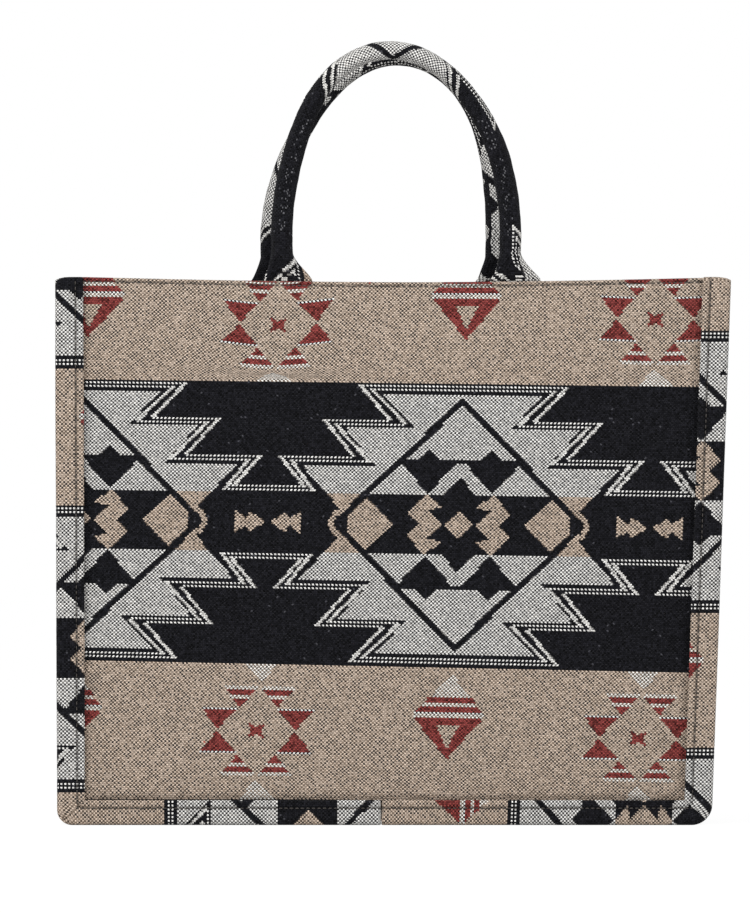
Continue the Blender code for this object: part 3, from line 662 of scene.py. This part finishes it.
BLACK_LINING = lining_material()
FACING_CLOTH = blanket_material("facing_cloth", 0.5, 0.03)


def cut_like_wall(x, y, z):
    return chart_on_wall(x + 0.09, z - 0.09)


def cut_like_side(x, y, z):
    return chart_on_wall(y, z - 0.03)


def plain_black(x, y, z):
    return np.full(x.shape, BLACK)


for out, word in ((-1, "front"), (1, "back")):
    facing = wall_layer(word + "_facing", long_wall(out), 0.402, FACING_LOW, HEIGHT, STITCH,
                        0.0007, FACING_CLOTH, cut_like_wall, 31 + out, 0.0)
    lining = wall_layer(word + "_lining", long_wall(out), 0.398, LINING_LOW, FACING_LOW - 0.0003,
                        0.005, 0.0006, BLACK_LINING, plain_black, 34 + out, 0.0005)
for side, word in ((-1, "left"), (1, "right")):
    facing = wall_layer(word + "_facing", short_wall(side), 0.1415, FACING_LOW, HEIGHT, STITCH,
                        0.0007, FACING_CLOTH, cut_like_side, 41 + side, 0.0)
    lining = wall_layer(word + "_lining", short_wall(side), 0.1415, LINING_LOW, FACING_LOW - 0.0003,
                        0.005, 0.0006, BLACK_LINING, plain_black, 44 + side, 0.0005)


def base_place(share, z, depth):
    """Lays a layer on the base board; its height runs from front to back."""
    x = side_x(-1, 0.0, 0.0071) * (1 - share) + side_x(1, 0.0, 0.0071) * share
    return x, z - 0.0709, LINING_LOW + 0.0014 - depth


base_lining = wall_layer("base_lining", base_place, 0.391, 0.0, 0.1418, 0.005, 0.0006, BLACK_LINING,
                         plain_black, 47, 0.0008)


# Rolled handles. A strip of the cloth is rolled round a filler cord and sewn shut along its inner side;
# its flat ends are caught in the hem.
TUBE = 0.0135
HEM_Z, FLARE_TOP = HEIGHT, 0.0165
SPRING_Z, ARCH_RISE, ARCH_HALF = 0.364, 0.1154, 0.0709
HANDLE_LEAN = {-1: 0.0034, 1: 0.0021}
HANDLE_SWAY = {-1: (-0.0036, 0.4), 1: (0.0086, 0.0)}
AROUND = 72
HANDLE_STITCH = 0.001132
FIRST_COLUMN, FIRST_ROW = 300, 100


def handle_line(out):
    """The handle's centre line in X and Z, one stitch apart, from one foot's end to the other's."""
    middle = HANDLE_MIDDLE[out]
    sway, start = HANDLE_SWAY[out]
    rise = np.linspace(0.326, SPRING_Z, 60)
    lean = HANDLE_LEAN[out] * smooth((rise - HEM_Z) / FLARE_TOP)
    turn = np.linspace(0, math.pi, 400)[1:-1]
    aside = sway * smooth((np.sin(turn) - start) / (1 - start)) - HANDLE_LEAN[out]
    arch = np.stack([middle + aside - ARCH_HALF * np.cos(turn),
                     SPRING_Z + ARCH_RISE * np.sin(turn)], 1)
    left = np.stack([middle - FOOT_SPACING / 2 - lean, rise], 1)
    right = np.stack([middle + FOOT_SPACING / 2 - lean, rise], 1)[::-1]
    path = np.concatenate([left, arch, right])
    length = np.concatenate([[0], np.cumsum(np.hypot(*np.diff(path, axis=0).T))])
    marks = np.linspace(0, length[-1], round(length[-1] / HANDLE_STITCH) + 1)
    return np.stack([np.interp(marks, length, path[:, k]) for k in (0, 1)], 1), marks


def make_handle(name, out, top_stitch, face_row, skew, seed):
    """One handle with both its feet. top_stitch is the chart's stitch at the top of the arch, and
    face_row its row along the outward face, which drifts by skew for each stitch."""
    line, marks = handle_line(out)
    ahead = np.gradient(line, axis=0)
    ahead /= np.linalg.norm(ahead, axis=1)[:, None]
    level = np.stack([np.sign(ahead[:, 1]), 0 * ahead[:, 1]], 1)
    share = smooth((line[:, 1] - HEM_Z - FLARE_TOP) / 0.02)[:, None]
    across = level * (1 - share) + np.stack([ahead[:, 1], -ahead[:, 0]], 1) * share
    across /= np.linalg.norm(across, axis=1)[:, None]
    rise = np.clip((line[:, 1] - HEM_Z) / FLARE_TOP, 0, 1)
    half_wide = TUBE / 2 + (FOOT_WIDTH - TUBE) / 2 * (1 - rise) ** 1.35
    half_thick = 0.0014 + (TUBE / 2 - 0.0014) * smooth((line[:, 1] - HEM_Z + 0.002) / 0.020)
    squareness = 1 - 0.45 * (1 - rise)
    wobble = 1 + 0.012 * np.sin(marks * 240 + seed) + 0.008 * np.sin(marks * 510 + 2 * seed)
    angle = math.tau * np.arange(AROUND) / AROUND + math.pi / 2
    cos, sin = np.cos(angle)[None, :], np.sin(angle)[None, :]
    power = squareness[:, None]
    wide = half_wide[:, None] * wobble[:, None] * np.sign(cos) * np.abs(cos) ** power
    thick = half_thick[:, None] * wobble[:, None] * np.sign(sin) * np.abs(sin) ** power
    arching = smooth((line[:, 1] - SPRING_Z - 0.03) / 0.085)[:, None]
    seam = np.exp(-((np.arange(AROUND) - 0.75 * AROUND) / 1.3) ** 2)[None, :] * share
    wide = wide * (1 - 0.30 * arching * (cos > 0)) - 0.0007 * seam
    rings = np.stack([line[:, :1] + across[:, :1] * wide, out * (FOOT_Y + thick),
                      line[:, 1:] + across[:, 1:] * wide], -1)
    rings += jitter(rings.shape, seed, 0.00004)
    closed = np.concatenate([rings, rings[:, :1]], 1)
    girth = np.concatenate([np.zeros((len(line), 1)),
                            np.cumsum(np.linalg.norm(np.diff(closed, axis=1), axis=2), 1)], 1)
    from_face = -girth
    over_seam = np.arange(AROUND + 1) > 0.75 * AROUND
    from_face[:, over_seam] += girth[:, -1:]
    column = (marks - marks[-1] / 2)[:, None] / HANDLE_STITCH + 0 * from_face
    row = from_face / ROW
    stitches = np.stack([column + FIRST_COLUMN, row + FIRST_ROW], -1)
    at = (stitches[:-1, :-1] + stitches[1:, 1:]) / 2
    at[..., 1] = row[:-1, :-1] + FIRST_ROW
    column_at = at[..., 0] - FIRST_COLUMN
    row_at = face_row + skew * column_at - (at[..., 1] - FIRST_ROW)
    code = chart(np.floor(column_at + top_stitch) + 0.5, np.floor(row_at) + 0.5)
    luck = LUCK[(at[..., 0].astype(int) * 7) % 512, at[..., 1].astype(int) % 512, 0]
    leg = (np.abs(column_at) > 62) & (np.abs(column_at) < 130) & (np.abs(at[..., 1] - FIRST_ROW - 1) < 2.2)
    code = np.where(leg & (code == BLACK) & (luck < 0.18), FAINT, code)
    made = cloth_body(name + "_cloth", rings, stitches, code,
                      blanket_material(name + "_cloth", 0.5, 0.03))
    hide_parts(name, name + "_left_foot", name + "_right_foot")
    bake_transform(made)
    return made


make_handle("front_handle", -1, 0.0, -61.6, 0.037, 3)
make_handle("back_handle", 1, 69.0, -55.9, 0.0, 5)


# Boards and filler cords. Bonded fibre board stiffens each wall and the base, and a twisted cotton
# cord fills each handle; both are closed in by the cloth and show only where the bag is cut open.
def hidden_material(name, colour, grain, stretch, roughness):
    """An unseen filler with a fibrous grain that can be stretched one way."""
    made = bpy.data.materials.new(name)
    made.use_nodes = True
    nodes, join = made.node_tree.nodes, made.node_tree.links.new
    shader = nodes["Principled BSDF"]
    place = nodes.new("ShaderNodeTexCoord")
    turned = nodes.new("ShaderNodeMapping")
    turned.inputs["Scale"].default_value = stretch
    fibres = nodes.new("ShaderNodeTexNoise")
    fibres.inputs["Scale"].default_value = grain
    fibres.inputs["Detail"].default_value = 6.0
    shades = nodes.new("ShaderNodeValToRGB")
    shades.color_ramp.elements[0].color = (*[c * 0.6 for c in colour], 1.0)
    shades.color_ramp.elements[1].color = (*colour, 1.0)
    bump = nodes.new("ShaderNodeBump")
    bump.inputs["Distance"].default_value = 0.0003
    join(place.outputs["Object"], turned.inputs["Vector"])
    join(turned.outputs[0], fibres.inputs["Vector"])
    join(fibres.outputs[0], shades.inputs[0])
    join(shades.outputs[0], shader.inputs["Base Color"])
    join(fibres.outputs[0], bump.inputs["Height"])
    join(bump.outputs[0], shader.inputs["Normal"])
    shader.inputs["Roughness"].default_value = roughness
    return made


fibre_board = hidden_material("fibre_board", (0.42, 0.39, 0.35), 350.0, (1.0, 1.0, 1.0), 0.85)
filler_cord = hidden_material("filler_cord", (0.78, 0.75, 0.68), 300.0, (1.0, 4.0, 1.0), 0.95)
BOARD_INSET = 0.0012


def cut_board(node):
    """A copy of one upright board with its lower corners cut back inside the rounded frame."""
    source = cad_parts[node]
    made = bpy.data.objects.new(node + "_cut", source.data.copy())
    bpy.context.scene.collection.objects.link(made)
    loose = bmesh.new()
    loose.from_mesh(made.data)
    bmesh.ops.remove_doubles(loose, verts=loose.verts, dist=1e-6)
    loose.to_mesh(made.data)
    loose.free()
    for vertex in made.data.vertices:
        for side, corner in ((-1, LEFT_CORNER), (1, RIGHT_CORNER)):
            middle = side_x(side, 0.0) - side * corner
            across, down = vertex.co.x - middle, vertex.co.z - corner
            reach = math.hypot(across, down)
            if side * across > 0 and down < 0 and reach > corner - BOARD_INSET:
                vertex.co.x = middle + across * (corner - BOARD_INSET) / reach
                vertex.co.z = corner + down * (corner - BOARD_INSET) / reach
    made.data.materials.clear()
    made.data.materials.append(fibre_board)
    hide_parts(node)
    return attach(made, "bag")


for word in ("front", "back", "left", "right"):
    cut_board(word + "_board")
for node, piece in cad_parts.items():
    if node == "base_board":
        piece.data.materials.clear()
        piece.data.materials.append(fibre_board)
    if node.endswith("_cord"):
        piece.data.materials.clear()
        piece.data.materials.append(filler_cord)


# Topstitching. Dark polyester thread in short even stitches, pulled into the cloth along the frame
# 5 mm from its inner fold, and along the hem of both panels.
THREAD_RADIUS = 0.00038
STITCH_PITCH = 0.0034
STITCH_LENGTH = 0.0025


def thread_tree():
    """Geometry nodes: one short rounded stitch at every pitch along each line."""
    tree = bpy.data.node_groups.new("running_stitch", "GeometryNodeTree")
    tree.interface.new_socket(name="Lines", in_out="INPUT", socket_type="NodeSocketGeometry")
    for label in ("Pitch", "Length", "Radius"):
        tree.interface.new_socket(name=label, in_out="INPUT", socket_type="NodeSocketFloat")
    tree.interface.new_socket(name="Thread", in_out="INPUT", socket_type="NodeSocketMaterial")
    tree.interface.new_socket(name="Stitches", in_out="OUTPUT", socket_type="NodeSocketGeometry")
    add, join = tree.nodes.new, tree.links.new
    given, out = add("NodeGroupInput"), add("NodeGroupOutput")
    points = add("GeometryNodeCurveToPoints")
    points.mode = "LENGTH"
    join(given.outputs["Lines"], points.inputs["Curve"])
    join(given.outputs["Pitch"], points.inputs["Length"])
    bead = add("GeometryNodeMeshUVSphere")
    bead.inputs["Segments"].default_value = 6
    bead.inputs["Rings"].default_value = 5
    bead.inputs["Radius"].default_value = 1.0
    turn = add("FunctionNodeAlignRotationToVector")
    turn.axis = "Z"
    join(points.outputs["Tangent"], turn.inputs["Vector"])
    half = add("ShaderNodeMath")
    half.operation = "MULTIPLY"
    half.inputs[1].default_value = 0.5
    join(given.outputs["Length"], half.inputs[0])
    size = add("ShaderNodeCombineXYZ")
    join(given.outputs["Radius"], size.inputs["X"])
    join(given.outputs["Radius"], size.inputs["Y"])
    join(half.outputs[0], size.inputs["Z"])
    place = add("GeometryNodeInstanceOnPoints")
    join(points.outputs["Points"], place.inputs["Points"])
    join(bead.outputs["Mesh"], place.inputs["Instance"])
    join(turn.outputs[0], place.inputs["Rotation"])
    join(size.outputs[0], place.inputs["Scale"])
    real = add("GeometryNodeRealizeInstances")
    paint = add("GeometryNodeSetMaterial")
    join(place.outputs[0], real.inputs[0])
    join(real.outputs[0], paint.inputs["Geometry"])
    join(given.outputs["Thread"], paint.inputs["Material"])
    join(paint.outputs[0], out.inputs["Stitches"])
    return tree


def thread_material():
    """Matt dark thread with a twist whose fine slanting ridges are drawn as bands of painted shade in its
    colour.
    """
    made = bpy.data.materials.new("topstitch_thread")
    made.use_nodes = True
    nodes, join = made.node_tree.nodes, made.node_tree.links.new
    shader = nodes["Principled BSDF"]
    place = nodes.new("ShaderNodeTexCoord")
    # Painted shade: the twist's ridges are darker and lighter bands in the thread's colour.
    twist = nodes.new("ShaderNodeTexWave")
    twist.bands_direction = "DIAGONAL"
    twist.inputs["Scale"].default_value = 900.0
    shades = nodes.new("ShaderNodeValToRGB")
    shades.color_ramp.elements[0].color = (0.02, 0.017, 0.015, 1.0)
    shades.color_ramp.elements[1].color = (0.06, 0.05, 0.043, 1.0)
    join(place.outputs["Object"], twist.inputs["Vector"])
    join(twist.outputs[0], shades.inputs[0])
    join(shades.outputs[0], shader.inputs["Base Color"])
    shader.inputs["Roughness"].default_value = 0.6
    return made


def stitch_lines():
    """The seam lines, each a list of points just proud of the cloth."""
    lines = []
    for out in (-1, 1):
        for side in (-1, 1):
            inset = SIDE_FLANGE - GROOVE_FROM_FOLD
            z = np.linspace(BASE_FLANGE - GROOVE_FROM_FOLD, HEIGHT - 0.002, 60)
            lines.append([(side_x(side, h, inset), out * (HALF_DEPTH - 0.0003), h) for h in z])
            x = np.linspace(side_x(side, 0.01, inset), BASE_JOIN_X + side * 0.001, 40)
            lines.append([(v, out * (HALF_DEPTH - 0.0003), BASE_FLANGE - GROOVE_FROM_FOLD)
                          for v in x])
        x = np.linspace(side_x(-1, HEIGHT, SIDE_FLANGE), side_x(1, HEIGHT, SIDE_FLANGE), 120)
        lines.append([(v, out * (PANEL_FACE - 0.0002), float(top_edge(v)) - HEM_SEAM_DROP)
                      for v in x])
    return lines


def sew(name, lines, material):
    """Runs the stitch tree over the lines and keeps its result as a plain mesh."""
    curve = bpy.data.curves.new(name + "_lines", "CURVE")
    curve.dimensions = "3D"
    for line in lines:
        spline = curve.splines.new("POLY")
        spline.points.add(len(line) - 1)
        spline.points.foreach_set("co", [v for place in line for v in (*place, 1.0)])
    guide = bpy.data.objects.new(name + "_guide", curve)
    bpy.context.scene.collection.objects.link(guide)
    step = guide.modifiers.new("stitches", "NODES")
    step.node_group = thread_tree()
    for item in step.node_group.interface.items_tree:
        if item.in_out == "INPUT" and item.name != "Lines":
            step[item.identifier] = {"Pitch": STITCH_PITCH, "Length": STITCH_LENGTH,
                                     "Radius": THREAD_RADIUS, "Thread": material}[item.name]
    evaluated = guide.evaluated_get(bpy.context.evaluated_depsgraph_get())
    mesh = bpy.data.meshes.new_from_object(evaluated)
    mesh.name = name
    bpy.data.objects.remove(guide)
    made = bpy.data.objects.new(name, mesh)
    bpy.context.scene.collection.objects.link(made)
    mesh.shade_smooth()
    return made


topstitching = sew("topstitching", stitch_lines(), thread_material())
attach(topstitching, "bag")


# The studio. A white floor with a soft shadow under the bag, a large soft light above the front, a
# weaker one from each side, and a long lens at the height of the bag's upper half.
def seen_directly(tree):
    """A value that is 1 where the camera sees a thing itself, in a gloss or through glass."""
    ray = tree.nodes.new("ShaderNodeLightPath")
    total = ray.outputs["Is Camera Ray"]
    for kind in ("Is Glossy Ray", "Is Transmission Ray"):
        both = tree.nodes.new("ShaderNodeMath")
        both.operation = "ADD"
        tree.links.new(total, both.inputs[0])
        tree.links.new(ray.outputs[kind], both.inputs[1])
        total = both.outputs[0]
    return total


def stage_material():
    """White paper; seen directly it is nearly pure white but keeps the bag's shadow."""
    made = bpy.data.materials.new("white_floor")
    made.use_nodes = True
    nodes, join = made.node_tree.nodes, made.node_tree.links.new
    paper = nodes["Principled BSDF"]
    paper.inputs["Base Color"].default_value = (0.82, 0.82, 0.82, 1.0)
    paper.inputs["Roughness"].default_value = 0.9
    glow = nodes.new("ShaderNodeEmission")
    glow.inputs["Strength"].default_value = 1.055
    share = nodes.new("ShaderNodeMath")
    share.operation = "MULTIPLY"
    share.inputs[1].default_value = 0.90
    share.use_clamp = True
    mix = nodes.new("ShaderNodeMixShader")
    join(seen_directly(made.node_tree), share.inputs[0])
    join(share.outputs[0], mix.inputs[0])
    join(paper.outputs[0], mix.inputs[1])
    join(glow.outputs[0], mix.inputs[2])
    join(mix.outputs[0], nodes["Material Output"].inputs["Surface"])
    return made


FLOOR_REACH = 14.0
ground_sheet = bpy.data.meshes.new("floor")
ground_sheet.from_pydata([(x * FLOOR_REACH, y * FLOOR_REACH, 0.0)
                          for x, y in ((-1, -1), (1, -1), (1, 1), (-1, 1))], [], [(0, 1, 2, 3)])
ground_sheet.materials.append(stage_material())
floor = bpy.data.objects.new("floor", ground_sheet)
bpy.context.scene.collection.objects.link(floor)

for name, place, aim, size, energy in (
        ("key", (-0.35, -1.2, 1.95), (0.0, 0.0, 0.22), 1.2, 33.0),
        ("left_fill", (-2.6, -1.2, 0.9), (0.0, 0.0, 0.22), 1.4, 12.0),
        ("right_fill", (2.6, -1.2, 0.9), (0.0, 0.0, 0.22), 1.4, 12.0)):
    lamp = bpy.data.lights.new(name, "AREA")
    lamp.size = size
    lamp.energy = energy
    holder = bpy.data.objects.new(name, lamp)
    bpy.context.scene.collection.objects.link(holder)
    holder.location = place
    direction = np.array(aim) - np.array(place)
    holder.rotation_mode = "XYZ"
    holder.rotation_euler = (math.acos(-direction[2] / np.linalg.norm(direction)), 0.0,
                             math.atan2(direction[1], direction[0]) - math.pi / 2)

world = bpy.data.worlds.new("studio")
bpy.context.scene.world = world
world.use_nodes = True
sky = world.node_tree.nodes["Background"]
sky.inputs["Color"].default_value = (1.0, 1.0, 1.0, 1.0)
strength = world.node_tree.nodes.new("ShaderNodeMapRange")
strength.inputs["To Min"].default_value = 0.55
strength.inputs["To Max"].default_value = 1.0
world.node_tree.links.new(seen_directly(world.node_tree), strength.inputs["Value"])
world.node_tree.links.new(strength.outputs[0], sky.inputs["Strength"])

LENS_MM, SENSOR_MM = 600.0, 36.0
CAMERA_PLACE = (-0.0112, -9.5125, 0.2285)
camera_data = bpy.data.cameras.new("camera")
camera_data.lens = LENS_MM
camera_data.sensor_width = SENSOR_MM
camera_data.clip_end = 60.0
camera = bpy.data.objects.new("camera", camera_data)
camera.location = CAMERA_PLACE
camera.rotation_euler = (math.pi / 2, 0.0, 0.0)
bpy.context.scene.collection.objects.link(camera)
bpy.context.scene.camera = camera
bpy.context.scene.view_settings.view_transform = "Standard"
